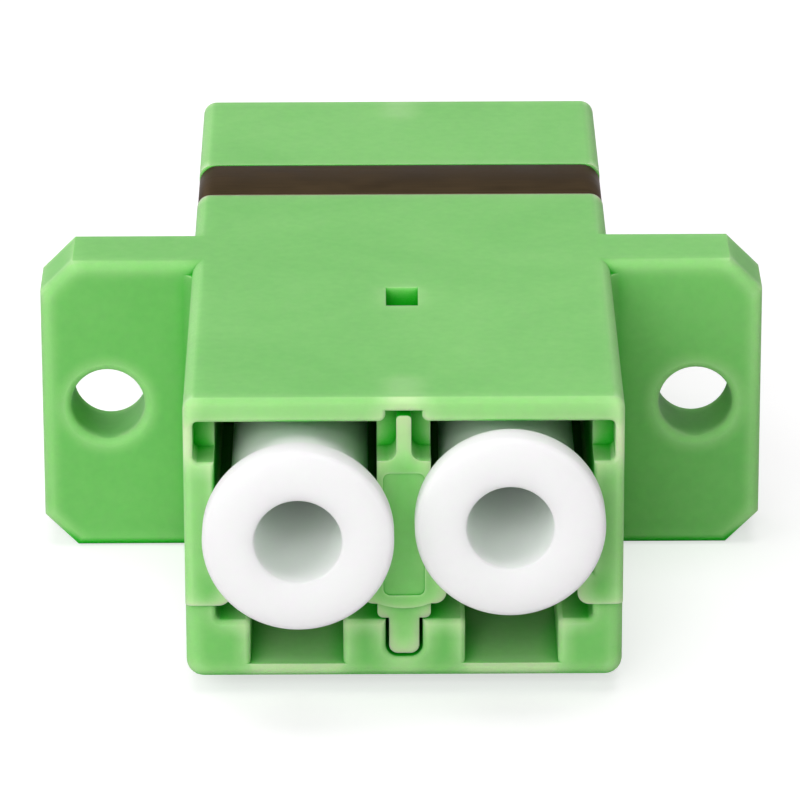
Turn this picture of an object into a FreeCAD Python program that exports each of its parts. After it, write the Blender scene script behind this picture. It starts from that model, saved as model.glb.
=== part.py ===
import FreeCAD
import Part

import math
import os

from FreeCAD import Vector

# Duplex fibre adapter: two small square latched ports at each end, on the flange of a single
# adapter, with a dust cap in each port.
#
# Frame: the origin lies on the panel face (the rear face) of the flange, midway between the two
# screw holes.  X runs across the flange, Y along the fibres towards the rear ports, Z upwards.
# The latch slots are on the under side of the ports.  Every length is in millimetres.

# ---- Housing, outside
side_wall = 0.875             # beside the ports
body_height = 8.8
body_length = 27.5
body_corner_radius = 0.42
front_reach = 14.4            # from the panel face to the front mouth
mouth_edge_radius = 0.2
lip_setback = 0.2             # the latch side of a mouth stands back by this much
lip_edge_radius = 0.38
lip_corner_radius = 0.5       # along the two lower edges of the body

# ---- Flange
flange_width = 22.0
flange_height = 9.3           # its top is level with the top of the body
flange_thickness = 2.65
flange_chamfer = 1.0
flange_edge_radius = 0.3
flange_root_radius = 0.3
screw_end_distance = 2.0      # from a screw hole's axis to the end of the flange
screw_hole_diameter = 2.25
screw_hole_rounding = 0.22

# ---- Ports
port_pitch = 6.25
port_width = 4.7
port_height = 4.72            # from the ledges to the roof
roof_thickness = 0.73
ledge_width = 0.45            # the plug body rides on these, above the latch
ledge_height = 0.95
ledge_tip_radius = 0.35
lug_gap = 0.56                # the latch lugs pass here, under the ledges
lug_corner_radius = 0.15
floor_thickness = 0.47
lever_slot_width = 2.7
lever_slot_depth = 6.2
catch_length = 3.2            # the lugs snap in behind these blocks
chamber_length = 2.4
chamber_rise = 0.25           # the chamber floor stands this far above the slot floor
pocket_wall = 0.275           # outside the pockets in the upper corners of each mouth
pocket_height = 1.24
pocket_depth = 1.4
pocket_radius = 0.15
mouth_inner_radius = 0.12     # round the mouths of the ports
slot_mouth_radius = 0.15      # round the mouths of their latch slots, except along the floor
slot_shoulder_radius = 0.18   # along the upper edges of a latch slot

# ---- Insert: centre wall, web and barrels, one in each end of the housing
insert_setback = 0.1
insert_gap = 0.03             # round the insert, in the housing
rib_thickness = 0.43
rib_rise = 0.16               # above the underside of the roof
rib_root_radius = 0.3
key_slot_width = 1.05
key_slot_height = 0.32
key_slot_extra = 0.4          # beyond the length of the rib
key_slot_rounding = 0.2
keel_width = 0.875
keel_rise = 0.29              # of its foot above the floor of the latch slots
keel_gap = 0.1
keel_corner_radius = 0.26
neck_corner_radius = 0.18     # where the neck above the keel turns under
lip_bow = 0.15                # the step under the wall's face hangs down this far in its middle
panel_width = 1.2             # shallow recess in the face of the centre wall
panel_height = 3.8
panel_foot = 0.25             # above the ledges' underside
panel_depth = 0.05
panel_radius = 0.2
web_thickness = 1.0
window_start = 7.8            # snap window in the roof, measured from the mouth
window_length = 1.6
window_width = 0.96
barb_gap = 0.05
barb_rise = 0.48
barb_crest = 0.45
spring_slot_length = 3.4
spring_slot_height = 0.3
spring_strip = 0.4            # left above the slot, to flex under the barb

# ---- Sleeves and the barrels that hold them
sleeve_length = 6.8
sleeve_bore_diameter = 1.25
sleeve_wall = 0.175
sleeve_slit = 0.25
sleeve_end_chamfer = 0.05
sleeve_gap = 0.03
barrel_wall = 0.5
barrel_lip_length = 0.5
barrel_lip_diameter = 1.45    # where the lip meets the sleeve; it widens to the barrel's mouth
barrel_root_radius = 0.3
barrel_tip_chamfer = 0.15
barrel_flare = 0.25

# ---- Spring clip
clip_offset = 3.65            # behind the panel face
clip_width = 2.85
clip_thickness = 0.2
clip_gap = 0.05
clip_bend_radius = 0.6
clip_return = 2.0             # turned in under the body
tab_height = 3.2
tab_reach = 1.55              # towards the flange, past the back of the panel
tab_spread = 0.8
tab_recess_margin = 0.25

# ---- Dust caps
cap_ring_diameter = 5.46
cap_ring_thickness = 0.95
cap_ring_rounding = 0.16
cap_plug_diameter = 4.0
cap_plug_chamfer = 0.25
cap_bore_diameter = 2.5
cap_bore_rounding = 0.06
cap_bore_cone = 0.35          # drill-point end of the blind bore
cap_membrane = 0.8
cap_tip_gap = 0.5             # from the tip of a seated cap to the web
cap_nose_gap = 0.25           # from the membrane of a seated cap to the barrel
cap_socket_gap = 0.15         # round the barrel
cap_side_play = 0.1           # the front caps lie this far towards each other
cap_droop = 0.055             # and this far down
front_left_pull = 2.24        # how far each front cap stands out of its port
front_right_pull = 1.25

# ---- Levels and stations worked out from the sizes above
body_width = port_pitch + port_width + 2 * side_wall
screw_pitch = flange_width - 2 * screw_end_distance
body_top = flange_height / 2
body_bottom = body_top - body_height
front_mouth = -front_reach
rear_mouth = front_mouth + body_length
middle = (front_mouth + rear_mouth) / 2
roof = body_top - roof_thickness
ledge_top = roof - port_height
ledge_bottom = ledge_top - ledge_height
deck = ledge_bottom - lug_gap
slot_floor = body_bottom + floor_thickness
keel_foot = slot_floor + keel_rise
fibre_height = roof - port_height / 2
fibre_offset = port_pitch / 2
cavity_half = (port_pitch + port_width) / 2
pocket_side = body_width / 2 - pocket_wall
wall_half = (port_pitch - port_width) / 2
web_start = middle - web_thickness
groove_depth = clip_thickness + clip_gap
barrel_bore_diameter = sleeve_bore_diameter + 2 * (sleeve_wall + sleeve_gap)
barrel_diameter = barrel_bore_diameter + 2 * barrel_wall
sleeve_front = middle - sleeve_length / 2
barrel_tip = sleeve_front - barrel_lip_length


# ---- Shapes
def box(x, y, z):
    """A block from its (low, high) pairs."""
    size = [high - low for low, high in (x, y, z)]
    return Part.makeBox(*size, Vector(x[0], y[0], z[0]))


def both_sides(right_half):
    """A closed outline from its right half, listed from top to bottom."""
    return right_half + [(-x, z, r) for x, z, r in reversed(right_half)]


def rounded_face(corners, to_vector):
    """A flat face from (a, b, radius) corners; to_vector places a pair in space."""
    points = [to_vector(a, b) for a, b, _ in corners]
    edges = []
    ends = []
    for i, corner in enumerate(points):
        radius = corners[i][2]
        if not radius:
            ends.append((corner, corner))
            continue
        back = (points[i - 1] - corner).normalize()
        ahead = (points[(i + 1) % len(points)] - corner).normalize()
        half_angle = back.getAngle(ahead) / 2
        inward = (back + ahead).normalize()
        first = corner + back * (radius / math.tan(half_angle))
        last = corner + ahead * (radius / math.tan(half_angle))
        crown = corner + inward * (radius / math.sin(half_angle) - radius)
        edges.append(Part.Arc(first, crown, last).toShape())
        ends.append((first, last))
    for (_, start), (stop, _) in zip(ends, ends[1:] + ends[:1]):
        if start.distanceToPoint(stop) > 1e-6:
            edges.append(Part.makeLine(start, stop))
    return Part.Face(Part.Wire(Part.__sortEdges__(edges)))


def shouldered(half, surface, bottom, radius):
    """Right half of a slot's outline: it widens in an arc where it meets a surface."""
    outside = 2 * surface - bottom
    return [
        (half + 2 * radius, outside, 0),
        (half + 2 * radius, surface, 0),
        (half, surface, radius),
        (half, bottom, 0),
    ]


def along_fibre(corners, start, stop):
    """An outline of (x, z, radius) corners carried along Y."""
    face = rounded_face(corners, lambda x, z: Vector(x, start, z))
    return face.extrude(Vector(0, stop - start, 0))


def across(corners, low, high):
    """An outline of (y, z, radius) corners carried along X."""
    face = rounded_face(corners, lambda y, z: Vector(low, y, z))
    return face.extrude(Vector(high - low, 0, 0))


def upright(corners, low, high):
    """An outline of (x, y, radius) corners carried along Z."""
    face = rounded_face(corners, lambda x, y: Vector(x, y, low))
    return face.extrude(Vector(0, 0, high - low))


def turned(corners, x, z):
    """A profile of (y, distance from the axis, radius) corners, turned about a fibre axis."""
    face = rounded_face(corners, lambda y, r: Vector(x, y, z + r))
    return face.revolve(Vector(x, 0, z), Vector(0, 1, 0), 360)


def rectangle(x, z, radius=0.0):
    """Corners of a rectangle from its (low, high) pairs."""
    return [(x[1], z[1], radius), (x[1], z[0], radius), (x[0], z[0], radius), (x[0], z[1], radius)]


def mirrored_ends(shape):
    """The same shape in the front half and in the rear half."""
    return [shape, rear_copy(shape)]


def rear_copy(shape):
    """The shape as it stands in the other end of the housing."""
    return shape.mirror(Vector(0, middle, 0), Vector(0, 1, 0))


def mirrored_sides(shape):
    """The same shape on the right and on the left."""
    return [shape, shape.mirror(Vector(0, 0, 0), Vector(1, 0, 0))]


def edges_in_plane(shape, axis, level):
    """Every edge of the shape that lies in one plane square to an axis (0, 1 or 2)."""
    found = []
    for edge in shape.Edges:
        box_of = edge.BoundBox
        low = (box_of.XMin, box_of.YMin, box_of.ZMin)[axis]
        high = (box_of.XMax, box_of.YMax, box_of.ZMax)[axis]
        if abs(low - level) < 1e-4 and abs(high - level) < 1e-4:
            found.append(edge)
    return found


# ---- Housing
def body_form(inset, corner_radius, edge_radius):
    """The outside of the body, with rounded ends that stand in by an inset."""
    outline = rectangle((-body_width / 2, body_width / 2), (body_bottom, body_top), corner_radius)
    ends = (front_mouth + inset, rear_mouth - inset)
    form = along_fibre(outline, *ends)
    rims = edges_in_plane(form, 1, ends[0]) + edges_in_plane(form, 1, ends[1])
    return form.makeFillet(edge_radius, rims)


def body_outside():
    """The full body above the ledges' underside, and a slightly shorter one below it."""
    upper = body_form(0, body_corner_radius, mouth_edge_radius)
    keep = box((-body_width, body_width), (front_mouth - 1, rear_mouth + 1), (ledge_bottom, body_top + 1))
    return body_form(lip_setback, lip_corner_radius, lip_edge_radius).fuse(upper.common(keep))


def flange():
    """A plate with cut corners and two rounded screw holes."""
    half_width = flange_width / 2
    half_height = flange_height / 2
    outline = both_sides([
        (half_width - flange_chamfer, half_height, 0),
        (half_width, half_height - flange_chamfer, 0),
        (half_width, flange_chamfer - half_height, 0),
        (half_width - flange_chamfer, -half_height, 0),
    ])
    plate = along_fibre(outline, -flange_thickness, 0)
    for side in (-1, 1):
        start = Vector(side * screw_pitch / 2, -flange_thickness, 0)
        plate = plate.cut(Part.makeCylinder(
            screw_hole_diameter / 2, flange_thickness, start, Vector(0, 1, 0)))
    for radius, round_rims in ((flange_edge_radius, False), (screw_hole_rounding, True)):
        rims = edges_in_plane(plate, 1, -flange_thickness) + edges_in_plane(plate, 1, 0)
        plate = plate.makeFillet(
            radius, [rim for rim in rims if isinstance(rim.Curve, Part.Circle) == round_rims])
    return plate


def flange_roots():
    """Concave strips where the flange meets the sides of the body."""
    side = body_width / 2
    low = body_bottom + lip_corner_radius
    high = body_top - body_corner_radius
    strips = []
    for face, way in ((0, 1), (-flange_thickness, -1)):
        far = face + way * flange_root_radius
        bulge = flange_root_radius * (1 - math.sqrt(0.5))
        arc = Part.Arc(
            Vector(side + flange_root_radius, face, low),
            Vector(side + bulge, face + way * bulge, low),
            Vector(side, far, low)).toShape()
        inner_edge = Part.makeLine(Vector(side, far, low), Vector(side, face, low))
        foot_edge = Part.makeLine(Vector(side, face, low), Vector(side + flange_root_radius, face, low))
        outline = Part.Face(Part.Wire([arc, inner_edge, foot_edge]))
        strips += mirrored_sides(outline.extrude(Vector(0, 0, high - low)))
    return strips


def cavity_outline(gap):
    """Section of the tunnel through the housing, taken in by a gap."""
    half = cavity_half - gap
    return both_sides([
        (half, roof - gap, 0),
        (half, ledge_top + gap, 0),
        (half - ledge_width, ledge_top + gap, 0),
        (half - ledge_width, ledge_bottom - gap, ledge_tip_radius),
        (half, ledge_bottom - gap, 0),
        (half, deck + gap, lug_corner_radius),
    ])


def port_cuts():
    """What is cut out of the front end of the housing, round one port and the centre wall."""
    cuts = []
    slot = along_fibre(
        [
            (fibre_offset + x, z, r) for x, z, r in both_sides(
                shouldered(lever_slot_width / 2, deck, slot_floor, slot_shoulder_radius))
        ],
        front_mouth - 1, front_mouth + lever_slot_depth)
    chamber_start = front_mouth + catch_length
    chamber = box(
        (fibre_offset - port_width / 2, fibre_offset + port_width / 2),
        (chamber_start, chamber_start + chamber_length),
        (slot_floor + chamber_rise, deck + 1))
    pocket = along_fibre(
        [
            (pocket_side, roof, pocket_radius),
            (pocket_side, roof - pocket_height, pocket_radius),
            (cavity_half - 1, roof - pocket_height, 0),
            (cavity_half - 1, roof, 0),
        ],
        front_mouth - 1, front_mouth + pocket_depth)
    for cut in (slot, chamber, pocket):
        cuts += mirrored_sides(cut)
    keel_half = keel_width / 2 + keel_gap
    keel_corner = (keel_half, keel_foot - keel_gap, keel_corner_radius + keel_gap)
    cuts.append(along_fibre(
        both_sides([(keel_half, deck + 1, 0), keel_corner]), front_mouth - 1, middle))
    key_end = front_mouth + pocket_depth + key_slot_extra
    key_half = key_slot_width / 2
    cuts.append(along_fibre(
        both_sides(shouldered(key_half, roof, roof + key_slot_height, key_slot_rounding)),
        front_mouth - 1, key_end))
    window = front_mouth + window_start
    cuts.append(box(
        (-window_width / 2, window_width / 2), (window, window + window_length), (roof - 1, body_top + 1)))
    return cuts


def mouth_rims(shell, station, low, high):
    """Inner edges of a mouth at one station whose middles lie between two heights."""
    reach = pocket_side + 0.01
    found = []
    for edge in edges_in_plane(shell, 1, station):
        span = edge.BoundBox
        if max(-span.XMin, span.XMax) < reach and low < (span.ZMin + span.ZMax) / 2 < high:
            found.append(edge)
    return found


def rounded_mouths(shell):
    """The housing with the mouths of its ports and latch slots rounded."""
    margin = 0.02
    port_heights = (ledge_top - margin, roof + key_slot_height + margin)
    slot_heights = (slot_floor + margin, deck + margin)
    for station, heights, radius in (
            (front_mouth, port_heights, mouth_inner_radius),
            (rear_mouth, port_heights, mouth_inner_radius),
            (front_mouth + lip_setback, slot_heights, slot_mouth_radius),
            (rear_mouth - lip_setback, slot_heights, slot_mouth_radius)):
        shell = shell.makeFillet(radius, mouth_rims(shell, station, *heights))
    return shell


def clip_cuts():
    """The groove round the body for the clip, and the hollows that its tabs flex into."""
    inner = groove_depth
    floor = along_fibre(
        rectangle(
            (inner - body_width / 2, body_width / 2 - inner),
            (body_bottom + inner, body_top - inner),
            clip_bend_radius - clip_thickness - clip_gap),
        clip_offset - clip_gap, clip_offset + clip_width + clip_gap)
    band = box(
        (-body_width, body_width),
        (clip_offset - clip_gap, clip_offset + clip_width + clip_gap),
        (body_bottom - 1, body_top + 1))
    hollow = box(
        (body_width / 2 - groove_depth, body_width),
        (clip_offset - tab_reach - tab_recess_margin, clip_offset),
        (-tab_height / 2 - tab_recess_margin, tab_height / 2 + tab_recess_margin))
    return [band.cut(floor)] + mirrored_sides(hollow)


def housing():
    """The one-piece green moulding."""
    shell = body_outside().fuse([flange()] + flange_roots()).removeSplitter()
    cuts = [along_fibre(cavity_outline(0), front_mouth - 1, rear_mouth + 1)]
    for cut in port_cuts():
        cuts += mirrored_ends(cut)
    return rounded_mouths(shell.cut(cuts + clip_cuts()).removeSplitter().Solids[0])


# ---- Insert
def spine():
    """Centre wall with its ledges, neck and keel, as one outline carried to the web."""
    ledge = wall_half + ledge_width
    outline = both_sides([
        (wall_half, roof - insert_gap, 0),
        (wall_half, ledge_top, 0),
        (ledge, ledge_top, 0),
        (ledge, ledge_bottom, ledge_tip_radius),
        (wall_half, ledge_bottom, 0),
        (wall_half, deck + insert_gap, neck_corner_radius),
        (keel_width / 2, deck + insert_gap, 0),
        (keel_width / 2, keel_foot, keel_corner_radius),
    ])
    return along_fibre(outline, front_mouth + insert_setback, middle)


def rib_relief():
    """What is cut from each side of the rib, with a rounded root."""
    half = rib_thickness / 2
    return along_fibre(
        [
            (half, roof + 1, 0),
            (half, roof - pocket_height, rib_root_radius),
            (wall_half + 1, roof - pocket_height, 0),
            (wall_half + 1, roof + 1, 0),
        ],
        front_mouth - 1, front_mouth + pocket_depth)


def rib_crest():
    """The top of the rib, which stands in the key slot of the roof."""
    half = rib_thickness / 2
    return along_fibre(
        both_sides([(half, roof + rib_rise, half * 0.6), (half, roof - pocket_height / 2, 0)]),
        front_mouth + insert_setback, front_mouth + pocket_depth + key_slot_extra / 2)


def barb():
    """Snap barb: a ramp that leads inwards and a square back that holds in the window."""
    back = front_mouth + window_start + barb_gap
    toe = front_mouth + window_start + window_length - barb_gap
    root = roof - spring_strip
    half = window_width / 2 - barb_gap
    return across(
        [
            (back, root, 0),
            (back, roof + barb_rise, 0),
            (back + barb_crest, roof + barb_rise, 0),
            (toe, roof - insert_gap, 0),
            (toe, root, 0),
        ],
        -half, half)


def spring_slot():
    """The slot under the barb that lets the top of the wall flex."""
    centre = front_mouth + window_start + window_length / 2
    high = roof - insert_gap - spring_strip
    return across(
        [
            (y, z, spring_slot_height * 0.45)
            for y, z, _ in rectangle(
                (centre - spring_slot_length / 2, centre + spring_slot_length / 2),
                (high - spring_slot_height, high))
        ],
        -wall_half - 1, wall_half + 1)


def panel_recess():
    """The shallow plain panel in the face of the centre wall."""
    face = front_mouth + insert_setback
    foot = ledge_bottom + panel_foot
    outline = rectangle(
        (-panel_width / 2, panel_width / 2), (foot, foot + panel_height), panel_radius)
    return along_fibre(outline, face - 1, face + panel_depth)


def barrel(x):
    """A sleeve barrel with a rounded root on the web and a chamfered tip."""
    outer = barrel_diameter / 2
    root = outer + barrel_root_radius
    bulge = barrel_root_radius * (1 - math.sqrt(0.5))
    points = [
        Vector(x, middle, fibre_height),
        Vector(x, barrel_tip, fibre_height),
        Vector(x, barrel_tip, fibre_height + outer - barrel_tip_chamfer),
        Vector(x, barrel_tip + barrel_tip_chamfer, fibre_height + outer),
        Vector(x, web_start - barrel_root_radius, fibre_height + outer),
    ]
    edges = [Part.makeLine(a, b) for a, b in zip(points, points[1:])]
    foot = Vector(x, web_start, fibre_height + root)
    edges.append(Part.Arc(
        points[-1], Vector(x, web_start - bulge, fibre_height + outer + bulge), foot).toShape())
    rim = Vector(x, middle, fibre_height + root)
    edges += [Part.makeLine(foot, rim), Part.makeLine(rim, points[0])]
    face = Part.Face(Part.Wire(edges))
    return face.revolve(Vector(x, 0, fibre_height), Vector(0, 1, 0), 360)


def barrel_bore(x):
    """The room for the sleeve, behind a flared lip."""
    lip = barrel_lip_diameter / 2
    return turned(
        [
            (middle + 1, 0, 0),
            (middle + 1, barrel_bore_diameter / 2, 0),
            (sleeve_front - sleeve_gap, barrel_bore_diameter / 2, 0),
            (sleeve_front - sleeve_gap, lip, 0),
            (barrel_tip, lip + barrel_flare, 0),
            (barrel_tip - 1, lip + barrel_flare, 0),
            (barrel_tip - 1, 0, 0),
        ],
        x, fibre_height)


def lip_cut():
    """What sets the neck and the keel back from the wall's face, under a bowed step."""
    stations = (front_mouth - 1, front_mouth + insert_setback + lip_setback)
    block = box((-wall_half - 1, wall_half + 1), stations, (body_bottom, ledge_bottom))
    radius = (wall_half ** 2 + lip_bow ** 2) / (2 * lip_bow)
    start = Vector(0, stations[0], ledge_bottom - lip_bow + radius)
    return block.cut(Part.makeCylinder(radius, stations[1] - stations[0], start, Vector(0, 1, 0)))


def insert():
    """Centre wall, web and two barrels, as the front insert stands."""
    web = along_fibre(cavity_outline(insert_gap), web_start, middle)
    fibres = (-fibre_offset, fibre_offset)
    solid = spine().cut(mirrored_sides(rib_relief()) + [lip_cut(), panel_recess(), spring_slot()])
    solid = solid.fuse([rib_crest(), barb(), web] + [barrel(x) for x in fibres])
    return solid.cut([barrel_bore(x) for x in fibres]).removeSplitter()


# ---- Sleeve, clip and caps
def sleeve(x):
    """A split alignment sleeve, its slit upwards."""
    bore = sleeve_bore_diameter / 2
    outer = bore + sleeve_wall
    low = sleeve_front
    high = sleeve_front + sleeve_length
    tube = turned(
        [
            (low, bore, 0),
            (low, outer - sleeve_end_chamfer, 0),
            (low + sleeve_end_chamfer, outer, 0),
            (high - sleeve_end_chamfer, outer, 0),
            (high, outer - sleeve_end_chamfer, 0),
            (high, bore, 0),
        ],
        x, fibre_height)
    slit = box(
        (x - sleeve_slit / 2, x + sleeve_slit / 2), (low - 1, high + 1),
        (fibre_height, fibre_height + outer + 1))
    return tube.cut(slit)


def clip_tab():
    """A tab that leaves the right side of the clip and springs out towards the flange."""
    face = body_width / 2
    start = clip_offset
    tip = clip_offset - tab_reach
    lean = math.hypot(tab_spread, tab_reach)
    along = clip_thickness * tab_spread / lean
    side = clip_thickness * tab_reach / lean
    overlap = clip_width / 4
    return upright(
        [
            (face, start + overlap, 0),
            (face, start, clip_bend_radius),
            (face + tab_spread, tip, 0),
            (face + tab_spread - side, tip - along, 0),
            (face - clip_thickness, start, clip_bend_radius),
            (face - clip_thickness, start + overlap, 0),
        ],
        -tab_height / 2, tab_height / 2)


def clip():
    """A folded spring strip: over the top, down both sides and turned in below."""
    outer = rectangle((-body_width / 2, body_width / 2), (body_bottom, body_top), clip_bend_radius)
    inner = rectangle(
        (clip_thickness - body_width / 2, body_width / 2 - clip_thickness),
        (body_bottom + clip_thickness, body_top - clip_thickness), clip_bend_radius - clip_thickness)
    stations = (clip_offset, clip_offset + clip_width)
    loop = along_fibre(outer, *stations).cut(along_fibre(inner, *stations))
    gap_half = body_width / 2 - clip_return
    mouth = box((-gap_half, gap_half), stations, (body_bottom - 1, 0))
    return loop.cut(mouth).fuse(mirrored_sides(clip_tab())).removeSplitter()


def cap(x, z, pull):
    """A turned dust cap for a front port, pulled out of its seat by a given length."""
    seat = front_mouth - pull
    face = seat - cap_ring_thickness
    tip = web_start - cap_tip_gap - pull
    socket_end = barrel_tip - cap_nose_gap - pull
    bore_end = socket_end - cap_membrane
    ring = cap_ring_diameter / 2
    plug = cap_plug_diameter / 2
    bore = cap_bore_diameter / 2
    socket = barrel_diameter / 2 + cap_socket_gap
    body = turned(
        [
            (face, 0, 0),
            (face, ring, cap_ring_rounding),
            (seat, ring, cap_ring_rounding),
            (seat, plug, 0),
            (tip, plug, cap_plug_chamfer),
            (tip, 0, 0),
        ],
        x, z)
    hollow = turned(
        [
            (face - 1, 0, 0),
            (face - 1, bore + cap_bore_rounding, 0),
            (face, bore + cap_bore_rounding, 0),
            (face + cap_bore_rounding, bore, 0),
            (bore_end - cap_bore_cone, bore, 0),
            (bore_end, 0, 0),
        ],
        x, z)
    room = Part.makeCylinder(
        socket, tip - socket_end + 1, Vector(x, socket_end, z), Vector(0, 1, 0))
    return body.cut([hollow, room])


def main():
    """Build every piece and write one STEP file for each."""
    front_insert = insert()
    reach = fibre_offset - cap_side_play
    level = fibre_height - cap_droop
    pieces = {
        "housing": housing(),
        "front_insert": front_insert,
        "rear_insert": rear_copy(front_insert),
        "left_sleeve": sleeve(-fibre_offset),
        "right_sleeve": sleeve(fibre_offset),
        "spring_clip": clip(),
        "front_left_cap": cap(-reach, level, front_left_pull),
        "front_right_cap": cap(reach, level, front_right_pull),
        "rear_left_cap": rear_copy(cap(-fibre_offset, fibre_height, 0)),
        "rear_right_cap": rear_copy(cap(fibre_offset, fibre_height, 0)),
    }
    os.makedirs("parts", exist_ok=True)
    for name, shape in pieces.items():
        solid = shape.Solids[0]
        print(f"{name}: {len(shape.Solids)} solid, valid {shape.isValid()}, {solid.Volume:.2f} mm3")
        shape.exportStep(f"parts/{name}.step")


main()
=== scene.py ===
"""Looks of a duplex fibre optic adapter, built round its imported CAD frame.

Every length in the fields below is in millimetres and every mesh is in metres, in the frame of
the CAD: X across the flange, Y along the fibres towards the rear ports, Z up.  The mouldings
keep the shape of their CAD nodes, and the sleeves are the nodes themselves.  The caps and the
spring clip are surfaces worked out on parametric grids.
"""

from __future__ import annotations

import logging
import math
from dataclasses import dataclass, replace
from enum import Enum

import bmesh
import bpy
import numpy as np
from mathutils import Matrix, Vector

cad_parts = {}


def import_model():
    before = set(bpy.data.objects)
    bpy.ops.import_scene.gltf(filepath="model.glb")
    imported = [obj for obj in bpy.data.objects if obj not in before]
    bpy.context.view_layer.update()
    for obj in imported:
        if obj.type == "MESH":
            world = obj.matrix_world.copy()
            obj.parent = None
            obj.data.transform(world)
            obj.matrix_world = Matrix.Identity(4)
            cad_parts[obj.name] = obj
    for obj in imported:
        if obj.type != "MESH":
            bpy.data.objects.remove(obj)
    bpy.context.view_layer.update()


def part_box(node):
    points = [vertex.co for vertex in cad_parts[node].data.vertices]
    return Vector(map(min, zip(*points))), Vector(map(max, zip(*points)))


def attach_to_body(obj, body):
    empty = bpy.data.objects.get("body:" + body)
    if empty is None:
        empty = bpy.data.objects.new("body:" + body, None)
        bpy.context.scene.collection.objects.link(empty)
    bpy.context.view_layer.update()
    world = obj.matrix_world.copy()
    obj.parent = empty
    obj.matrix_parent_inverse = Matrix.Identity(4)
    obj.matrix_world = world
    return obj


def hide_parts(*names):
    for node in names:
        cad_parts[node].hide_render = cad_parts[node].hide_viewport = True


MM = 0.001
GRID_MERGE = 1e-7  # metres between points of a grid that are one point
NODE_MERGE = 2e-6  # metres between points of a CAD node that are one point
FLAT_ANGLE = math.radians(1.0)  # faces of a CAD node that meet at less are one flat face
EDGE_SPANS = 3  # spans of each rounded edge of a strip
LOG = logging.getLogger("adapter")

Colour = tuple[float, float, float]
Band = tuple[float, float, float, float]


class Slot(Enum):
    """Material slots of the record, which the mouldings carry but do not use."""

    HOUSING = "housing"
    INSERT = "insert"
    CLIP = "clip"
    CAP = "cap"


class End(Enum):
    """The two ends of the adapter, each with the way along Y that its ports face."""

    FRONT = -1
    REAR = 1


# ---- Meshes


def surface_faces(rows: int, columns: int) -> np.ndarray:
    """Quads of a grid whose rows are rings.

    Args:
        rows: Number of grid rows.
        columns: Number of points in a row, the last of which joins the first.

    Returns:
        An array of four vertex numbers for each quad.
    """
    row = np.arange(rows - 1)[:, None] * columns
    column = np.arange(columns)[None, :]
    after = (column + 1) % columns
    quads = np.stack(
        [row + column, row + after, row + columns + after, row + columns + column], axis=-1
    )
    return quads.reshape(-1, 4)


def link_object(name: str, mesh: bpy.types.Mesh) -> bpy.types.Object:
    """A new object that holds a mesh, linked to the scene."""
    piece = bpy.data.objects.new(name, mesh)
    bpy.context.scene.collection.objects.link(piece)
    return piece


def surface_object(name: str, grid: np.ndarray) -> bpy.types.Object:
    """A smooth closed object from a grid of points, whose end rows are capped.

    Args:
        name: Name of the piece.
        grid: Points in metres, as (rows, columns, 3).

    Returns:
        The object, with its doubles merged and its faces outwards.
    """
    rows, columns = grid.shape[:2]
    faces = surface_faces(rows, columns).tolist()
    faces.append(list(range(columns))[::-1])
    faces.append(list(range((rows - 1) * columns, rows * columns)))
    mesh = bpy.data.meshes.new(name)
    mesh.from_pydata(grid.reshape(-1, 3).tolist(), [], faces)
    merge_and_orient(mesh)
    return link_object(name, mesh)


def merge_and_orient(mesh: bpy.types.Mesh) -> None:
    """Merge the doubles of a mesh, then turn its faces outwards and shade it smooth."""
    shape = bmesh.new()
    shape.from_mesh(mesh)
    bmesh.ops.remove_doubles(shape, verts=shape.verts, dist=GRID_MERGE)
    bmesh.ops.dissolve_degenerate(shape, edges=shape.edges, dist=GRID_MERGE)
    bmesh.ops.recalc_face_normals(shape, faces=shape.faces)
    for face in shape.faces:
        face.smooth = True
    shape.to_mesh(mesh)
    shape.free()


def join_meshes(name: str, pieces: list[bpy.types.Object]) -> bpy.types.Object:
    """One object that holds the meshes of several, which are then removed.

    Args:
        name: Name of the joined piece.
        pieces: Objects at the origin, unturned and unscaled.

    Returns:
        The joined object.
    """
    shape = bmesh.new()
    for piece in pieces:
        shape.from_mesh(piece.data)
    mesh = bpy.data.meshes.new(name)
    shape.to_mesh(mesh)
    shape.free()
    for piece in pieces:
        bpy.data.objects.remove(piece)
    return link_object(name, mesh)


def rounded_path(corners: list[tuple[float, float, float]], steps: int = 5) -> np.ndarray:
    """Points along an open path whose corners are rounded.

    A corner of radius r becomes an arc that touches both of its runs: its points lie at distance
    r from a centre on the bisector, over equal angles.

    Args:
        corners: (a, b, radius) for each corner; the ends have radius 0.
        steps: Spans of each arc.

    Returns:
        The points, as (count, 2).
    """
    points = np.array([corner[:2] for corner in corners])
    found = [points[:1]]
    for before, (a, b, radius), after in zip(points, corners[1:-1], points[2:]):
        corner = np.array([a, b])
        if radius <= 0:
            found.append(corner[None])
            continue
        back = (before - corner) / np.linalg.norm(before - corner)
        ahead = (after - corner) / np.linalg.norm(after - corner)
        half = math.acos(float(np.clip(back @ ahead, -1, 1))) / 2
        bisector = (back + ahead) / np.linalg.norm(back + ahead)
        centre = corner + bisector * radius / math.sin(half)
        first = corner + back * radius / math.tan(half) - centre
        turn = math.pi - 2 * half
        sign = 1.0 if first[0] * -bisector[1] - first[1] * -bisector[0] > 0 else -1.0
        angle = sign * np.linspace(0, turn, steps + 1)
        found.append(
            centre
            + np.stack(
                [
                    first[0] * np.cos(angle) - first[1] * np.sin(angle),
                    first[0] * np.sin(angle) + first[1] * np.cos(angle),
                ],
                axis=1,
            )
        )
    found.append(points[-1:])
    return np.concatenate(found)


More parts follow.
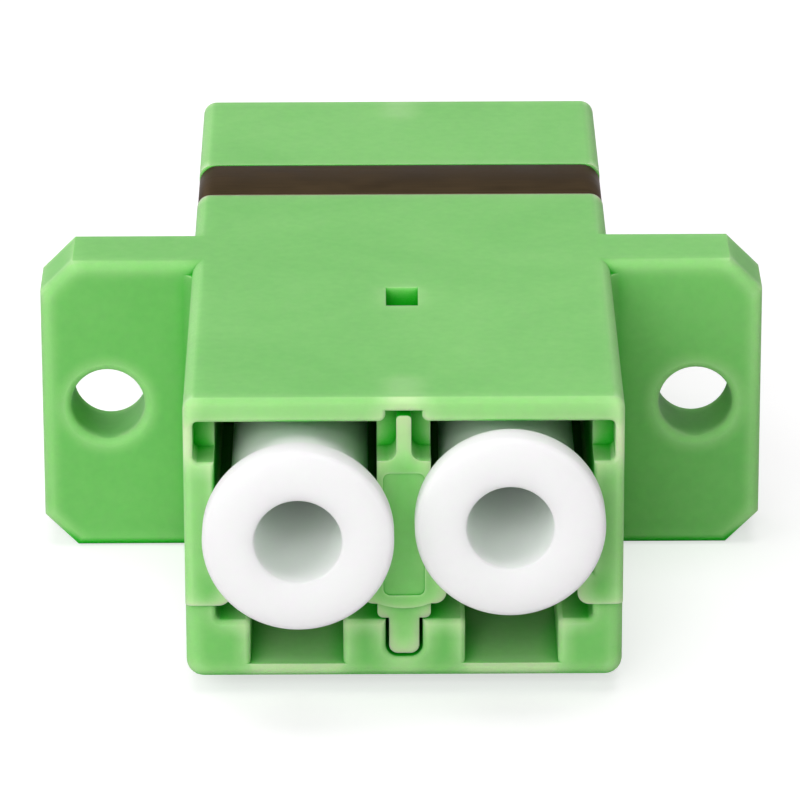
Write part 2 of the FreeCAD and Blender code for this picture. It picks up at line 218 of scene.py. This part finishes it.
def turned_grid(profile: np.ndarray, x: float, z: float, steps: int) -> np.ndarray:
    """A surface of revolution about a line along Y.

    A point (y, r) of the profile goes round the circle (x + r cos t, y, z + r sin t).

    Args:
        profile: (y, radius) points in millimetres.
        x: Place of the axis across.
        z: Height of the axis.
        steps: Points round the axis.

    Returns:
        Grid in metres, one row for each profile point.
    """
    angle = np.linspace(0, 2 * np.pi, steps, endpoint=False)[None, :]
    y, radius = profile[:, 0][:, None], profile[:, 1][:, None]
    grid = np.stack(
        [x + radius * np.cos(angle), y + 0 * angle, z + radius * np.sin(angle)], axis=-1
    )
    return grid * MM


def strip_grid(
    path: np.ndarray, across: np.ndarray, low: float, high: float, thickness: float, edge: float
) -> np.ndarray:
    """A rounded strip that follows a flat path.

    At each point of the path the section is a rectangle whose corners are arcs: u runs from low
    to high square to the path's plane, and v runs inwards from the path by the thickness.

    Args:
        path: Points of the strip's outer face in its plane, as (count, 2).
        across: The plane's two unit axes and the axis square to them, as rows.
        low: Start of the strip square to the plane.
        high: End of the strip square to the plane.
        thickness: Thickness of the strip, measured inwards.
        edge: Radius of its rounded edges.

    Returns:
        Grid in metres, one row for each path point.
    """
    run = np.gradient(path, axis=0)
    run /= np.linalg.norm(run, axis=1, keepdims=True)
    inward = np.stack([run[:, 1], -run[:, 0]], axis=1)
    quarter = np.linspace(0, np.pi / 2, EDGE_SPANS + 1)
    centres = [
        (high - edge, edge, 0.0),
        (high - edge, thickness - edge, 0.5 * np.pi),
        (low + edge, thickness - edge, np.pi),
        (low + edge, edge, 1.5 * np.pi),
    ]
    section = np.concatenate(
        [
            np.stack(
                [
                    u + edge * np.sin(start + quarter),
                    v - edge * np.cos(start + quarter),
                ],
                axis=1,
            )
            for u, v, start in centres
        ]
    )
    flat = path[:, None, :] + inward[:, None, :] * section[None, :, 1:2]
    square = np.broadcast_to(section[None, :, 0], flat.shape[:2])
    grid = (
        flat[..., 0:1] * across[0]
        + flat[..., 1:2] * across[1]
        + square[..., None] * across[2]
    )
    return grid * MM


# ---- Node graphs


class Graph:
    """A material's or a node group's tree, with short calls to add and join nodes."""

    def __init__(self, tree: bpy.types.NodeTree) -> None:
        """Keep the tree, emptied of its nodes."""
        self.tree = tree
        tree.nodes.clear()

    def add(self, kind: str, settings: dict | None = None, **inputs: object) -> bpy.types.Node:
        """Add a node.

        Args:
            kind: Type name of the node, without its ShaderNode prefix.
            settings: Properties of the node itself.
            inputs: Sockets by name, an underscore for a space; a value, or a socket to join.

        Returns:
            The new node.
        """
        prefix = "" if kind.startswith("Node") else "ShaderNode"
        node = self.tree.nodes.new(prefix + kind)
        for key, value in (settings or {}).items():
            setattr(node, key, value)
        for key, value in inputs.items():
            self.put(node, key.replace("_", " "), value)
        return node

    def put(self, node: bpy.types.Node, key: str | int, value: object) -> None:
        """Join a socket to an input, or set the input's own value."""
        if isinstance(value, bpy.types.NodeSocket):
            self.tree.links.new(value, node.inputs[key])
        else:
            node.inputs[key].default_value = value

    def maths(self, operation: str, *values: object, clamp: bool = False) -> bpy.types.NodeSocket:
        """The result of a Math node on up to three values or sockets."""
        node = self.add("Math", {"operation": operation, "use_clamp": clamp})
        for index, value in enumerate(values):
            self.put(node, index, value)
        return node.outputs[0]

    def blend(self, factor: object, first: object, second: object) -> bpy.types.NodeSocket:
        """A colour between two, by a factor."""
        node = self.add("Mix", {"data_type": "RGBA"})
        for index, value in ((0, factor), (6, first), (7, second)):
            self.put(node, index, value)
        return node.outputs[2]

    def band(self, value: object, band: Band) -> bpy.types.NodeSocket:
        """A value taken from one range to another, and held at the ends of both.

        Args:
            value: The value or socket to take across.
            band: Start and end of the first range, then what they become.

        Returns:
            The socket that gives the result.
        """
        keys = ("From_Min", "From_Max", "To_Min", "To_Max")
        return self.add("MapRange", Value=value, **dict(zip(keys, band))).outputs[0]

    def looked_at(self) -> bpy.types.NodeSocket:
        """One for rays from the eye, straight or by way of gloss or glass, and 0 for the rest."""
        rays = self.add("LightPath").outputs
        seen = self.maths("MAXIMUM", rays["Is Camera Ray"], rays["Is Glossy Ray"])
        return self.maths("MAXIMUM", seen, rays["Is Transmission Ray"])


def rgba(colour: Colour) -> tuple[float, float, float, float]:
    """A display colour from 0 to 1 as the linear four numbers of a colour socket."""
    linear = [c / 12.92 if c <= 0.04045 else ((c + 0.055) / 1.055) ** 2.4 for c in colour]
    return (*linear, 1.0)


class Effect:
    """A node group that is built once and placed in any material.

    Subclasses name the group, list its sockets and draw its inside.
    """

    name = ""
    inputs: tuple[tuple[str, str, float | None], ...] = ()
    outputs: tuple[tuple[str, str], ...] = ()

    def draw(self, graph: Graph, entry: bpy.types.Node, leave: bpy.types.Node) -> None:
        """Draw the inside of the group between its two ends."""
        raise NotImplementedError

    def tree(self) -> bpy.types.NodeTree:
        """The group's tree, built on first use."""
        found = bpy.data.node_groups.get(self.name)
        if found:
            return found
        tree = bpy.data.node_groups.new(self.name, "ShaderNodeTree")
        for label, kind, value in self.inputs:
            socket = tree.interface.new_socket(label, in_out="INPUT", socket_type=kind)
            if value is not None:
                socket.default_value = value
        for label, kind in self.outputs:
            tree.interface.new_socket(label, in_out="OUTPUT", socket_type=kind)
        graph = Graph(tree)
        self.draw(graph, graph.add("NodeGroupInput"), graph.add("NodeGroupOutput"))
        return tree

    def place(self, graph: Graph, **inputs: object) -> bpy.types.Node:
        """Place the group in a material.

        Args:
            graph: The material's graph.
            inputs: Sockets by name, an underscore for a space.

        Returns:
            The group node.
        """
        return graph.add("Group", {"node_tree": self.tree()}, **inputs)


class MouldGrain(Effect):
    """Fine spark-eroded texture that a mould leaves on plastic.

    The height is fine noise plus a third of noise at three times the scale.  Roughness goes up
    and down with a slower noise.
    """

    name = "mould_grain"
    inputs = (
        ("Grains per metre", "NodeSocketFloat", 9000.0),
        ("Roughness", "NodeSocketFloat", 0.4),
        ("Spread", "NodeSocketFloat", 0.05),
    )
    outputs = (("Height", "NodeSocketFloat"), ("Roughness", "NodeSocketFloat"))
    finer_times = 3.0
    finer_share = 0.33
    slow_times = 0.06

    def draw(self, graph: Graph, entry: bpy.types.Node, leave: bpy.types.Node) -> None:
        """Draw the inside of the group between its two ends."""
        place = graph.add("TexCoord").outputs["Object"]
        scale = entry.outputs["Grains per metre"]
        fine = graph.add("TexNoise", Vector=place, Scale=scale, Detail=2.0, Roughness=0.6)
        finer_scale = graph.maths("MULTIPLY", scale, self.finer_times)
        finer = graph.add("TexNoise", Vector=place, Scale=finer_scale, Detail=1.0)
        height = graph.maths("MULTIPLY_ADD", finer.outputs[0], self.finer_share, fine.outputs[0])
        slow_scale = graph.maths("MULTIPLY", scale, self.slow_times)
        slow = graph.add("TexNoise", Vector=place, Scale=slow_scale, Detail=3.0)
        swing = graph.maths("SUBTRACT", slow.outputs[0], 0.5)
        spread = graph.maths("MULTIPLY", entry.outputs["Spread"], 2.0)
        rough = graph.maths("MULTIPLY_ADD", swing, spread, entry.outputs["Roughness"])
        graph.put(leave, "Height", height)
        graph.put(leave, "Roughness", rough)


class FlowTint(Effect):
    """Slow colour change of moulded plastic, where it cooled thick or thin.

    A slow noise, with specks of a finer one, moves the colour between a deeper and a paler one.
    """

    name = "flow_tint"
    inputs = (
        ("Deep", "NodeSocketColor", None),
        ("Pale", "NodeSocketColor", None),
        ("Waves per metre", "NodeSocketFloat", 160.0),
    )
    outputs = (("Colour", "NodeSocketColor"),)
    swirl = 0.6
    speck_times = 22.0
    speck_share = 0.35
    pale_band = (0.45, 0.9, 0.0, 1.0)

    def draw(self, graph: Graph, entry: bpy.types.Node, leave: bpy.types.Node) -> None:
        """Draw the inside of the group between its two ends."""
        place = graph.add("TexCoord").outputs["Object"]
        scale = entry.outputs["Waves per metre"]
        slow = graph.add("TexNoise", Vector=place, Scale=scale, Detail=3.0, Distortion=self.swirl)
        speck_scale = graph.maths("MULTIPLY", scale, self.speck_times)
        speck = graph.add("TexNoise", Vector=place, Scale=speck_scale, Detail=2.0)
        mixed = graph.maths("MULTIPLY_ADD", speck.outputs[0], self.speck_share, slow.outputs[0])
        share = graph.band(mixed, self.pale_band)
        graph.put(
            leave, "Colour", graph.blend(share, entry.outputs["Deep"], entry.outputs["Pale"])
        )


class PaintedGlowAndShade(Effect):
    """Masks for the light painted on a translucent moulding.

    The first mask, for a painted glow, is how much of the inside of the piece lies within the
    Wall
    reach of a point: nothing in a thick block, about a third in a wall, and two thirds along an
    edge.
    It paints the light that comes through thin parts and the highlights along edges.  The flat
    top and sides keep little of it, because the ports behind them are dark.  The second mask, for
    painted shade, is how much of the sky is hidden within the Hollow reach, and the third is the
    part of it where nearly all is hidden, so that what light there is has come through the piece.
    These two paint the shade and the bounced colour of hollows and crevices.
    """

    name = "painted_glow_and_shade"
    inputs = (
        ("Wall reach", "NodeSocketFloat", 0.0006),
        ("Hollow reach", "NodeSocketFloat", 0.0009),
    )
    outputs = (
        ("Painted glow", "NodeSocketFloat"),
        ("Hollow", "NodeSocketFloat"),
        ("Painted crevice light", "NodeSocketFloat"),
    )
    samples = 6
    flat_band = (0.94, 0.995, 1.0, 0.25)
    painted_glow_band = (0.25, 0.95, 1.0, 0.0)
    painted_hollow_band = (0.35, 0.85, 1.0, 0.0)
    painted_crevice_band = (0.1, 0.5, 1.0, 0.0)

    def draw(self, graph: Graph, entry: bpy.types.Node, leave: bpy.types.Node) -> None:
        """Draw the inside of the group between its two ends."""
        depth = graph.add(
            "AmbientOcclusion",
            {"samples": self.samples, "inside": True, "only_local": True},
            Distance=entry.outputs["Wall reach"],
        )
        sky = graph.add(
            "AmbientOcclusion", {"samples": self.samples}, Distance=entry.outputs["Hollow reach"]
        )
        facing = graph.add("SeparateXYZ", Vector=graph.add("TexCoord").outputs["Normal"])
        across = graph.maths("ABSOLUTE", facing.outputs["X"])
        flat = graph.maths("MAXIMUM", across, graph.maths("ABSOLUTE", facing.outputs["Z"]))
        kept = graph.band(flat, self.flat_band)
        # Painted glow mask: paler colour where much of the piece lies near the point.
        thin = graph.band(depth.outputs["AO"], self.painted_glow_band)
        graph.put(leave, "Painted glow", graph.maths("MULTIPLY", thin, kept))
        # Painted shade masks: deeper colour where much of the sky is hidden.
        graph.put(leave, "Hollow", graph.band(sky.outputs["AO"], self.painted_hollow_band))
        graph.put(leave, "Painted crevice light", graph.band(sky.outputs["AO"], self.painted_crevice_band))


class RolledGrain(Effect):
    """Fine drawn-out lines of rolled strip, along X over the top and along Z down the sides.

    One noise is drawn out along X and Z, the two ways that the strip runs, and a slower one
    gives the clouds.
    """

    name = "rolled_grain"
    inputs = (
        ("Lines per metre", "NodeSocketFloat", 14000.0),
        ("Stretch", "NodeSocketFloat", 0.03),
    )
    outputs = (
        ("Height", "NodeSocketFloat"),
        ("Streaks", "NodeSocketFloat"),
        ("Clouds", "NodeSocketFloat"),
    )
    clouds_per_metre = 520.0
    streak_band = (0.35, 0.75, 0.0, 1.0)
    cloud_band = (0.35, 0.7, 0.0, 1.0)

    def draw(self, graph: Graph, entry: bpy.types.Node, leave: bpy.types.Node) -> None:
        """Draw the inside of the group between its two ends."""
        place = graph.add("TexCoord").outputs["Object"]
        lines = entry.outputs["Lines per metre"]
        squeezed = graph.maths("MULTIPLY", lines, entry.outputs["Stretch"])
        ways = graph.add("CombineXYZ", X=squeezed, Y=lines, Z=squeezed)
        stretched = graph.add("VectorMath", {"operation": "MULTIPLY"})
        graph.put(stretched, 0, place)
        graph.put(stretched, 1, ways.outputs[0])
        fine = graph.add("TexNoise", Vector=stretched.outputs[0], Scale=1.0, Detail=3.0)
        clouds = graph.add(
            "TexNoise", Vector=place, Scale=self.clouds_per_metre, Detail=4.0, Roughness=0.6
        )
        graph.put(leave, "Height", fine.outputs[0])
        graph.put(leave, "Streaks", graph.band(fine.outputs[0], self.streak_band))
        graph.put(leave, "Clouds", graph.band(clouds.outputs[0], self.cloud_band))


# ---- Finishes


def new_material(name: str) -> tuple[bpy.types.Material, Graph]:
    """An empty node material and its graph."""
    material = bpy.data.materials.new(name)
    material.use_nodes = True
    return material, Graph(material.node_tree)


@dataclass(frozen=True)
class MouldedPlastic:
    """Moulded thermoplastic, slightly translucent.

    Its colour runs from deep to pale over the thick parts.  Where the masks say so, it turns to
    the thin colour, a painted glow of light through thin parts and along edges, and to two
    deeper colours of painted shade and bounced colour in hollows and crevices.
    """

    name: str
    deep: Colour
    pale: Colour
    thin: Colour
    painted_light_in_hollows: Colour
    painted_light_in_crevices: Colour
    wall_reach: float = 0.62
    hollow_reach: float = 0.9
    roughness: float = 0.46
    spread: float = 0.05
    grain: float = 9000.0
    bump: float = 0.06
    bump_depth: float = 0.02
    glow: float = 1.0
    glow_depth: float = 0.6
    glow_ways: Colour = (0.6, 1.0, 0.5)
    ior: float = 1.5
    shine: float = 0.02

    def material(self) -> bpy.types.Material:
        """Build the material."""
        material, graph = new_material(self.name)
        tint = FlowTint().place(graph, Deep=rgba(self.deep), Pale=rgba(self.pale))
        grain = MouldGrain().place(
            graph, Grains_per_metre=self.grain, Roughness=self.roughness, Spread=self.spread
        )
        bump = graph.add(
            "Bump",
            Strength=self.bump,
            Distance=self.bump_depth * MM,
            Height=grain.outputs["Height"],
        )
        painted_masks = PaintedGlowAndShade().place(
            graph, Wall_reach=self.wall_reach * MM, Hollow_reach=self.hollow_reach * MM
        )
        # Painted glow: the thin colour, where light would come through thin parts and along
        # edges.
        colour = graph.blend(painted_masks.outputs["Painted glow"], tint.outputs[0], rgba(self.thin))
        # Painted shade and bounced colour, in hollows and then in deep crevices.
        colour = graph.blend(painted_masks.outputs["Hollow"], colour, rgba(self.painted_light_in_hollows))
        colour = graph.blend(painted_masks.outputs["Painted crevice light"], colour, rgba(self.painted_light_in_crevices))
        shader = graph.add(
            "BsdfPrincipled",
            Base_Color=colour,
            Roughness=grain.outputs["Roughness"],
            Normal=bump.outputs[0],
            IOR=self.ior,
            Specular_IOR_Level=self.shine,
            Subsurface_Weight=self.glow,
            Subsurface_Radius=self.glow_ways,
            Subsurface_Scale=self.glow_depth * MM,
        )
        graph.add("OutputMaterial", Surface=shader.outputs[0])
        return material


@dataclass(frozen=True)
class SpringSteel:
    """Dark brown metal spring strip with rolled lines and paler clouds."""

    name: str
    dark: Colour
    worn: Colour
    rim: Colour
    roughness: float = 0.34
    cloud_roughness: float = 0.12
    streak_share: float = 0.35
    cloud_share: float = 0.3
    bump: float = 0.12
    bump_depth: float = 0.01

    def material(self) -> bpy.types.Material:
        """Build the material."""
        material, graph = new_material(self.name)
        grain = RolledGrain().place(graph)
        clouds = grain.outputs["Clouds"]
        share = graph.maths("MULTIPLY", grain.outputs["Streaks"], self.streak_share)
        share = graph.maths("MULTIPLY_ADD", clouds, self.cloud_share, share, clamp=True)
        colour = graph.blend(share, rgba(self.dark), rgba(self.worn))
        rough = graph.maths("MULTIPLY_ADD", clouds, self.cloud_roughness, self.roughness)
        bump = graph.add(
            "Bump",
            Strength=self.bump,
            Distance=self.bump_depth * MM,
            Height=grain.outputs["Height"],
        )
        shader = graph.add(
            "BsdfPrincipled",
            Base_Color=colour,
            Roughness=rough,
            Normal=bump.outputs[0],
            Metallic=1.0,
            Specular_Tint=rgba(self.rim),
        )
        graph.add("OutputMaterial", Surface=shader.outputs[0])
        return material


@dataclass(frozen=True)
class PlainFloor:
    """Matt white table, seen as plain white where nothing shades it and clear from below.

    What the eye sees of it is lifted by a glow of its own, which grows from the lift beside the
    adapter to full white between the near and the far distance, in metres.
    """

    name: str = "table_white"
    albedo: float = 0.6
    # The green share paints out a little green: a painted correction of the green light that the
    # adapter bounces onto its shadow.
    green_share: float = 0.97
    lift: float = 0.6
    near: float = 0.15
    far: float = 0.5

    def material(self) -> bpy.types.Material:
        """Build the material."""
        material, graph = new_material(self.name)
        green = self.green_share * self.albedo
        matt = graph.add("BsdfDiffuse", Color=(self.albedo, green, self.albedo, 1.0))
        away = graph.add("VectorMath", {"operation": "LENGTH"})
        graph.put(away, 0, graph.add("TexCoord").outputs["Object"])
        strength = graph.band(away.outputs["Value"], (self.near, self.far, self.lift, 1.0))
        lift = graph.add("Emission", Color=(1.0, 1.0, 1.0, 1.0), Strength=strength)
        lit = graph.add("AddShader")
        graph.put(lit, 0, matt.outputs[0])
        graph.put(lit, 1, lift.outputs[0])
        floor = graph.add("MixShader", Fac=graph.looked_at())
        graph.put(floor, 1, matt.outputs[0])
        graph.put(floor, 2, lit.outputs[0])
        clear = graph.add("BsdfTransparent")
        under = graph.add("NewGeometry").outputs["Backfacing"]
        sides = graph.add("MixShader", Fac=under)
        graph.put(sides, 1, floor.outputs[0])
        graph.put(sides, 2, clear.outputs[0])
        graph.add("OutputMaterial", Surface=sides.outputs[0])
        return material


# ---- Sub-assemblies


@dataclass
class Moulding:
    """A green moulding: the shape of its CAD node with its flat faces kept flat.

    The corner angle is in degrees, and the weighting is how far large faces bend the shading of
    their borders to their own.
    """

    node: str
    slot: Slot
    finish: bpy.types.Material
    corner: float = 32.0
    weighting: int = 100

    def build(self) -> bpy.types.Object:
        """Copy the node's shape, merge it, and shade each face and rounding as it is.

        A sharp edge is one whose faces meet at more than the corner angle.

        Returns:
            The piece, riding on the adapter in place of its node.
        """
        mesh = bpy.data.objects[self.node].data.copy()
        mesh.name = f"{self.node}_skin"
        shape = bmesh.new()
        shape.from_mesh(mesh)
        bmesh.ops.remove_doubles(shape, verts=shape.verts, dist=NODE_MERGE)
        bmesh.ops.dissolve_limit(
            shape, angle_limit=FLAT_ANGLE, verts=shape.verts, edges=shape.edges
        )
        for face in shape.faces:
            face.smooth = True
        for edge in shape.edges:
            edge.smooth = edge.calc_face_angle(0.0) < math.radians(self.corner)
        shape.to_mesh(mesh)
        shape.free()
        mesh.materials.clear()
        mesh.materials.append(self.finish)
        piece = link_object(f"{self.node}_skin", mesh)
        flatten = piece.modifiers.new("flat_faces", "WEIGHTED_NORMAL")
        flatten.weight = self.weighting
        flatten.keep_sharp = True
        return attach(piece, "adapter", self.node)


@dataclass
class DustCap:
    """A soft white turned cap: a rounded ring, a blind bore in front and a socket behind."""

    node: str
    end: End
    finish: bpy.types.Material
    ring_thickness: float = 0.94
    ring_rounding: float = 0.16
    plug_diameter: float = 4.0
    plug_draft: float = 0.02
    neck_rounding: float = 0.08
    tip_rounding: float = 0.24
    bore_diameter: float = 2.5
    bore_depth: float = 9.75
    bore_lead: float = 0.06
    bore_cone: float = 0.35
    cone_rounding: float = 0.12
    membrane: float = 0.8
    socket_diameter: float = 2.96
    socket_lead: float = 0.05
    socket_rounding: float = 0.06
    steps: int = 128

    def profile(self, length: float, ring: float) -> np.ndarray:
        """The cap's outline, from the end of its bore round the outside to that of its socket.

        Args:
            length: Length of the cap.
            ring: Radius of its ring.

        Returns:
            (depth behind the outer face, radius) points in millimetres.
        """
        plug, bore = self.plug_diameter / 2, self.bore_diameter / 2
        socket, socket_end = self.socket_diameter / 2, self.bore_depth + self.membrane
        return rounded_path(
            [
                (self.bore_depth, 0.0, 0),
                (self.bore_depth - self.bore_cone, bore, self.cone_rounding),
                (0.0, bore, self.bore_lead),
                (0.0, ring, self.ring_rounding),
                (self.ring_thickness, ring, self.ring_rounding),
                (self.ring_thickness, plug, self.neck_rounding),
                (length, plug - self.plug_draft, self.tip_rounding),
                (length, socket, self.socket_lead),
                (socket_end, socket, self.socket_rounding),
                (socket_end, 0.0, 0),
            ]
        )

    def build(self) -> bpy.types.Object:
        """Turn the profile about the node's own axis.

        Returns:
            The piece, riding on its own body in place of its node.
        """
        low, high = (np.array(corner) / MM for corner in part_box(self.node))
        x, z = (low[0] + high[0]) / 2, (low[2] + high[2]) / 2
        length, ring = high[1] - low[1], (high[0] - low[0]) / 2
        face = low[1] if self.end is End.FRONT else high[1]
        profile = self.profile(length, ring)
        profile[:, 0] = face - self.end.value * profile[:, 0]
        piece = surface_object(f"{self.node}_white", turned_grid(profile, x, z, self.steps))
        piece.data.materials.append(self.finish)
        return attach(piece, self.node, self.node)


@dataclass
class SpringClip:
    """Folded strip round the body, turned in below, with a tab on each side."""

    finish: bpy.types.Material
    loop_width: float = 12.7
    band_width: float = 2.85
    thickness: float = 0.2
    edge: float = 0.045
    bend: float = 0.6
    bend_steps: int = 10
    under: float = 2.0
    tab_height: float = 3.2
    tab_reach: float = 1.55
    tab_spread: float = 0.8
    tab_root: float = 0.7
    tab_steps: int = 8
    node: str = "spring_clip"

    def strip(
        self, name: str, path: np.ndarray, across: np.ndarray, low: float, high: float
    ) -> bpy.types.Object:
        """One length of the strip, along a path in the plane of the first two axes."""
        grid = strip_grid(path, across, low, high, self.thickness, self.edge)
        return surface_object(name, grid)

    def build(self) -> bpy.types.Object:
        """Carry the strip round the body, then add the tabs.

        Returns:
            The piece, riding on the adapter in place of its node.
        """
        low, high = (np.array(corner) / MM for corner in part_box(self.node))
        top, bottom = high[2], low[2]
        half = self.loop_width / 2
        start, stop = high[1] - self.band_width, high[1]
        loop = rounded_path(
            [
                (-half + self.under, bottom, 0),
                (-half, bottom, self.bend),
                (-half, top, self.bend),
                (half, top, self.bend),
                (half, bottom, self.bend),
                (half - self.under, bottom, 0),
            ],
            steps=self.bend_steps,
        )
        x_axis, y_axis, z_axis = np.eye(3)
        upright = np.array([x_axis, z_axis, y_axis])
        level = np.array([x_axis, y_axis, z_axis])
        pieces = [self.strip("clip_band", loop, upright, start, stop)]
        for side in (-1, 1):
            path = rounded_path(
                [
                    (side * half, start + self.tab_root, 0),
                    (side * half, start, self.bend),
                    (side * (half + self.tab_spread), start - self.tab_reach, 0),
                ],
                steps=self.tab_steps,
            )
            if side < 0:
                path = path[::-1]
            reach = self.tab_height / 2
            pieces.append(self.strip("clip_tab", path, level, -reach, reach))
        piece = join_meshes("clip_strip", pieces)
        piece.data.materials.append(self.finish)
        return attach(piece, "adapter", self.node)


def attach(piece: bpy.types.Object, body: str, node: str) -> bpy.types.Object:
    """Fix a piece to its body, in place of its node, and log it.

    Args:
        piece: The finished object.
        body: The CAD body that it rides on.
        node: The CAD node that it stands for.

    Returns:
        The same object.
    """
    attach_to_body(piece, body)
    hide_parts(node)
    LOG.info("%s rides on %s in place of %s", piece.name, body, node)
    return piece


# ---- Studio


@dataclass
class Lamp:
    """A square soft lamp that looks at the adapter."""

    name: str
    place: tuple[float, float, float]
    size: float
    power: float

    def build(self) -> bpy.types.Object:
        """Make the lamp and turn it towards the adapter."""
        data = bpy.data.lights.new(self.name, "AREA")
        data.shape = "SQUARE"
        data.size = self.size * MM
        data.energy = self.power
        lamp = bpy.data.objects.new(self.name, data)
        lamp.location = Vector(self.place) * MM
        aim = -lamp.location
        lamp.rotation_euler = aim.to_track_quat("-Z", "Y").to_euler()
        bpy.context.scene.collection.objects.link(lamp)
        lamp.visible_camera = False
        return lamp


@dataclass
class Studio:
    """White table, pale surroundings, soft lamps and the camera.

    The camera's angles are in degrees, and the clipping distances in metres.
    """

    floor_level: float = -4.66
    floor_half: float = 1500.0
    world_light: float = 0.15
    eye: tuple[float, float, float] = (-0.9134, -184.0334, 68.9898)
    pitch: float = 20.7853
    turn: float = 0.2727
    roll: float = -0.155
    lens: float = 285.115
    sensor: float = 36.0
    clip: tuple[float, float] = (0.01, 10.0)
    lamps: tuple[Lamp, ...] = (
        Lamp("front_lamp", (-60.0, -395.0, 170.0), 240.0, 0.92),
        Lamp("front_left_lamp", (-320.0, -320.0, 130.0), 240.0, 0.4),
        Lamp("right_lamp", (400.0, -200.0, 180.0), 240.0, 0.1),
        Lamp("key_lamp", (-260.0, -190.0, 330.0), 260.0, 0.26),
        Lamp("top_lamp", (0.0, 0.0, 440.0), 300.0, 0.77),
        Lamp("back_lamp", (-330.0, 330.0, 240.0), 200.0, 0.5),
    )

    def world(self) -> None:
        """Pale surroundings that look white to the eye and in reflections."""
        world = bpy.data.worlds.new("pale_room")
        bpy.context.scene.world = world
        world.use_nodes = True
        graph = Graph(world.node_tree)
        strength = graph.band(graph.looked_at(), (0.0, 1.0, self.world_light, 1.0))
        glow = graph.add("Background", Color=(1.0, 1.0, 1.0, 1.0), Strength=strength)
        graph.add("OutputWorld", Surface=glow.outputs[0])

    def floor(self) -> None:
        """The table top."""
        half, level = self.floor_half * MM, self.floor_level * MM
        around = ((-half, -half), (half, -half), (half, half), (-half, half))
        mesh = bpy.data.meshes.new("table_top")
        mesh.from_pydata([(x, y, level) for x, y in around], [], [(0, 1, 2, 3)])
        mesh.materials.append(PlainFloor().material())
        floor = link_object("table_top", mesh)

    def camera(self) -> None:
        """The camera, turned about Z, then tipped down, then rolled about its own axis."""
        data = bpy.data.cameras.new("camera")
        data.lens = self.lens
        data.sensor_width = self.sensor
        data.clip_start, data.clip_end = self.clip
        camera = bpy.data.objects.new("camera", data)
        heading = Matrix.Rotation(-math.radians(self.turn), 4, "Z")
        tip = Matrix.Rotation(math.radians(90 - self.pitch), 4, "X")
        lean = Matrix.Rotation(math.radians(self.roll), 4, "Z")
        camera.matrix_world = Matrix.Translation(Vector(self.eye) * MM) @ heading @ tip @ lean
        bpy.context.scene.collection.objects.link(camera)
        bpy.context.scene.camera = camera

    def build(self) -> None:
        """Set up everything round the adapter."""
        self.world()
        self.floor()
        self.camera()
        for lamp in self.lamps:
            lamp.build()
        bpy.context.scene.view_settings.view_transform = "Standard"


# ---- The adapter

GREEN = MouldedPlastic(
    "green_plastic",
    deep=(0.48, 0.775, 0.42),
    pale=(0.53, 0.815, 0.46),
    # Painted light: the thin colour is a painted glow of light through thin parts and along
    # edges, and the two colours after it are painted shade and bounced green in hollows and
    # crevices.
    thin=(0.84, 0.965, 0.74),
    painted_light_in_hollows=(0.09, 0.74, 0.12),
    painted_light_in_crevices=(0.05, 0.70, 0.09),
)
PALE_GREEN = replace(
    GREEN,
    name="pale_green_plastic",
    deep=(0.555, 0.845, 0.48),
    pale=(0.60, 0.88, 0.53),
    # Painted light: a painted glow of light through thin parts and along edges.
    thin=(0.82, 0.99, 0.71),
)
WHITE = MouldedPlastic(
    "white_plastic",
    deep=(0.96, 0.96, 0.96),
    pale=(0.97, 0.97, 0.97),
    # Painted light: a faint painted glow on thin parts and edges, then painted green bounce light
    # and shade in the bores and hollows of the caps.
    thin=(0.97, 0.97, 0.97),
    painted_light_in_hollows=(0.94, 0.99, 0.945),
    painted_light_in_crevices=(0.95, 0.995, 0.955),
    hollow_reach=2.5,
    roughness=0.45,
    glow_depth=1.0,
    glow_ways=(0.9, 1.0, 0.9),
)
CERAMIC = MouldedPlastic(
    "ground_ceramic",
    deep=(0.92, 0.91, 0.87),
    pale=(0.95, 0.94, 0.90),
    # Painted light: a paler painted glow on thin parts and edges, then a darker painted shade in
    # hollows and crevices.
    thin=(0.96, 0.95, 0.92),
    painted_light_in_hollows=(0.88, 0.86, 0.80),
    painted_light_in_crevices=(0.88, 0.86, 0.80),
    roughness=0.25,
    glow=0.2,
)
STEEL = SpringSteel(
    "spring_steel", dark=(0.24, 0.205, 0.15), worn=(0.36, 0.30, 0.22), rim=(0.72, 0.71, 0.71)
)


def dress_adapter() -> None:
    """Build every piece in order, each with its finish."""
    green, pale_green = GREEN.material(), PALE_GREEN.material()
    white, ceramic, steel = WHITE.material(), CERAMIC.material(), STEEL.material()
    for node, slot, finish in (
        ("housing", Slot.HOUSING, green),
        ("front_insert", Slot.INSERT, pale_green),
        ("rear_insert", Slot.INSERT, pale_green),
    ):
        Moulding(node, slot, finish).build()
    for node in ("left_sleeve", "right_sleeve"):
        materials = bpy.data.objects[node].data.materials
        materials.clear()
        materials.append(ceramic)
    SpringClip(steel).build()
    for node, end in (
        ("front_left_cap", End.FRONT),
        ("front_right_cap", End.FRONT),
        ("rear_left_cap", End.REAR),
        ("rear_right_cap", End.REAR),
    ):
        DustCap(node, end, white).build()


def main() -> None:
    """Load the frame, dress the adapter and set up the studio."""
    logging.basicConfig(level=logging.INFO, format="%(message)s")
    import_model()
    dress_adapter()
    Studio().build()


if __name__ == "__main__":
    main()
